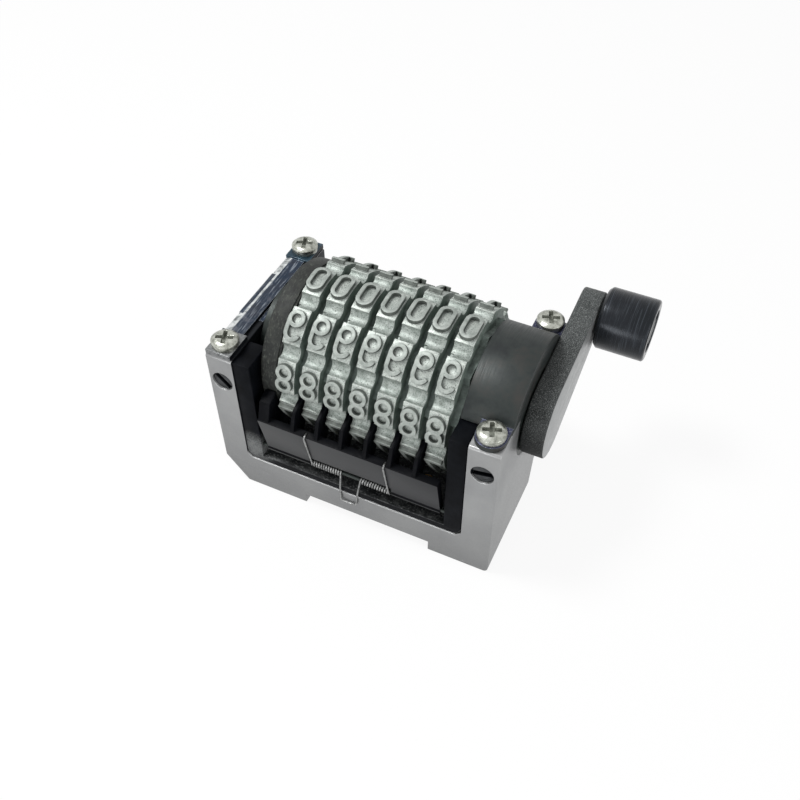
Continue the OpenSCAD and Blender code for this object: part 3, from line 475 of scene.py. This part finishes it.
# painted shade on the cap's inner face
coat(leftCap, finishes["paintedInnerShade"], lambda at, normal: normal.x > facing)
rightCap = softenEdges(copyOfNode("right_bearing_cap", "rightCap"), caps["edge"])
dress(rightCap, finishes["archSteel"], "frame", "right_bearing_cap")
coat(rightCap, finishes["capPlate"], archFlat)
capScrews = softenEdges(copyOfNode("cap_screws", "capScrews", flatten=False), caps["screwEdge"])
dress(capScrews, finishes["nickel"], "frame", "cap_screws")
coat(capScrews, finishes["recess"], screwCross)
setScrews = softenEdges(copyOfNode("set_screws", "setScrews"), caps["setEdge"])
dress(setScrews, finishes["setSteel"], "frame", "set_screws")
coat(setScrews, finishes["blackOxide"], lambda at, normal: normal.y > -0.95)  # all but the front face
print("caps done")

# wheels: one is modelled, the others are its copies along the shaft

wheel = {
    "edge": 0.05 * mm, "typeR": 13.5 * mm, "padR": 12.8 * mm, "skin": 0.06 * mm,
    "side": 0.85,           # a normal with this share along the shaft is on a wheel's side
}


def wheelValley(at, normal):
    return abs(normal.x) < wheel["side"] and fromAxis(at) < wheel["padR"] - 2 * wheel["skin"]


def digitWall(at, normal):
    return wheel["padR"] + wheel["skin"] < fromAxis(at) < wheel["typeR"] - wheel["skin"]


def digitFace(at, normal):
    return fromAxis(at) > wheel["typeR"] - wheel["skin"]


firstWheel = softenEdges(copyOfNode("number_wheel_1", "wheel1"), wheel["edge"])
dress(firstWheel, finishes["wheelSteel"], "wheel_1", "number_wheel_1")
# painted shade on the wheels' sides
coat(firstWheel, finishes["wheelSideShade"], lambda at, normal: abs(normal.x) > wheel["side"])
coat(firstWheel, finishes["valley"], wheelValley)
# painted shade on the type's walls
coat(firstWheel, finishes["typeWallShade"], digitWall)
coat(firstWheel, finishes["typeFace"], digitFace)
for number in range(2, wheelCount + 1):
    shift = jointAt[f"wheel_{number}_turn"].x - jointAt["wheel_1_turn"].x
    nextWheel = bpy.data.objects.new(f"wheel{number}", firstWheel.data.copy())
    bpy.context.scene.collection.objects.link(nextWheel)
    nextWheel.data.transform(Matrix.Translation((shift, 0, 0)))
    dress(nextWheel, finishes["wheelSteel"], f"wheel_{number}", f"number_wheel_{number}")
print("wheels done")

# comb and springs

combBar = {"edge": 0.05 * mm, "springBend": 1.5 * mm}  # a height above the spring's pivot
comb = softenEdges(copyOfNode("comb_bar", "comb"), combBar["edge"])
dress(comb, finishes["combRib"], "comb", "comb_bar")
coat(comb, finishes["combFace"], lambda at, normal: normal.y < -facing and normal.z < 0)
combSpring = smoothCopy("comb_spring", "combSpring")
combSpring.data.materials.append(finishes["springWire"])
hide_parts("comb_spring")
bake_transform(combSpring)
for node, body in (("pawl_spring", "lever"), ("return_spring", "frame")):
    dress(smoothCopy(node, node.replace("_s", "S")), finishes["springWire"], body, node)
print("comb done")

# lever and roller

leverArm = {"edge": 0.25 * mm, "rollerEdge": 0.1 * mm, "rounding": 3}
lever = softenEdges(copyOfNode("swing_lever", "lever"), leverArm["edge"], leverArm["rounding"])
dress(lever, finishes["leverSteel"], "lever", "swing_lever")
# painted light on the lever's right face
coat(lever, finishes["leverLitSide"], lambda at, normal: normal.x > facing)
roller = softenEdges(copyOfNode("cam_roller", "roller"), leverArm["rollerEdge"], leverArm["rounding"])
dress(roller, finishes["turnedBlack"], "roller", "cam_roller")
print("lever done")

# floor, light and camera

studio = {
    "floor": 1.2, "floorGap": 0.02 * mm, "paper": 0.9, "paperRough": 0.9, "paperGlow": 0.9, "world": 0.45,
    "lit": (0, 0, 0.02),    # the lamps point here
    "lamps": {              # place, size and power
        "keyLight": ((-0.16, -0.05, 0.33), 0.1, 0.85),
        "fillLight": ((0.3, -0.15, 0.15), 0.25, 0.35),
        "frontLight": ((-0.06, -0.33, 0.05), 0.15, 0.28),
    },
    "cameraAt": (38.184 * mm, -94.635 * mm, 126.136 * mm),
    "cameraTurn": (42.1054, 0.0217, 25.0348),  # degrees
    "lens": 42.31, "sensor": 36, "nearest": 5 * mm,
}


def addFloor():  # its paper glows to the camera and in reflections, and keeps some of the shadow
    bpy.ops.object.select_all(action="DESELECT")
    bpy.ops.mesh.primitive_plane_add(size=studio["floor"], location=(0, 0, -studio["floorGap"]))
    floor = settle(bpy.context.object, "floor")
    paper = bpy.data.materials.new("whitePaper")
    paper.use_nodes = True
    tree = paper.node_tree
    shader = tree.nodes["Principled BSDF"]
    shader.inputs["Base Color"].default_value = [studio["paper"]] * 3 + [1]
    shader.inputs["Roughness"].default_value = studio["paperRough"]
    glow = tree.nodes.new("ShaderNodeEmission")
    path = tree.nodes.new("ShaderNodeLightPath")
    mix = tree.nodes.new("ShaderNodeMixShader")
    seen = tree.nodes.new("ShaderNodeMath")
    seen.operation = "MAXIMUM"
    tree.links.new(path.outputs["Is Camera Ray"], seen.inputs[0])
    tree.links.new(path.outputs["Is Glossy Ray"], seen.inputs[1])
    share = tree.nodes.new("ShaderNodeMath")
    share.operation = "MULTIPLY"
    share.inputs[1].default_value = studio["paperGlow"]
    tree.links.new(seen.outputs[0], share.inputs[0])
    tree.links.new(share.outputs[0], mix.inputs["Fac"])
    tree.links.new(shader.outputs[0], mix.inputs[1])
    tree.links.new(glow.outputs[0], mix.inputs[2])
    tree.links.new(mix.outputs[0], tree.nodes["Material Output"].inputs["Surface"])
    floor.data.materials.append(paper)


def addWorld():  # a plain light on the part, white to the camera and in reflections
    world = bpy.data.worlds.new("studioAir")
    bpy.context.scene.world = world
    world.use_nodes = True
    tree = world.node_tree
    air = tree.nodes["Background"]
    air.inputs["Strength"].default_value = studio["world"]
    backdrop = tree.nodes.new("ShaderNodeBackground")
    backdrop.inputs["Color"].default_value = (1, 1, 1, 1)
    air.inputs["Color"].default_value = (1, 1, 1, 1)
    path = tree.nodes.new("ShaderNodeLightPath")
    mix = tree.nodes.new("ShaderNodeMixShader")
    seen = path.outputs["Is Camera Ray"]
    for ray in ("Is Glossy Ray", "Is Transmission Ray"):
        either = tree.nodes.new("ShaderNodeMath")
        either.operation = "MAXIMUM"
        tree.links.new(seen, either.inputs[0])
        tree.links.new(path.outputs[ray], either.inputs[1])
        seen = either.outputs[0]
    tree.links.new(seen, mix.inputs["Fac"])
    tree.links.new(air.outputs[0], mix.inputs[1])
    tree.links.new(backdrop.outputs[0], mix.inputs[2])
    tree.links.new(mix.outputs[0], tree.nodes["World Output"].inputs["Surface"])


def addLamp(name, at, size, power):
    bpy.ops.object.select_all(action="DESELECT")
    bpy.ops.object.light_add(type="AREA", location=at)
    lamp = bpy.context.object
    lamp.name = name
    lamp.data.shape = "DISK"
    lamp.data.size = size
    lamp.data.energy = power
    lamp.rotation_euler = (Vector(studio["lit"]) - Vector(at)).to_track_quat("-Z", "Y").to_euler()


def addCamera():
    bpy.ops.object.select_all(action="DESELECT")
    bpy.ops.object.camera_add(location=studio["cameraAt"])
    camera = bpy.context.object
    camera.rotation_euler = [math.radians(turn) for turn in studio["cameraTurn"]]
    camera.data.lens = studio["lens"]
    camera.data.sensor_width = studio["sensor"]
    camera.data.clip_start = studio["nearest"]
    bpy.context.scene.camera = camera


addFloor()
addWorld()
for name, (at, size, power) in studio["lamps"].items():
    addLamp(name, at, size, power)
addCamera()
bpy.context.scene.view_settings.view_transform = "Standard"
print("studio done")
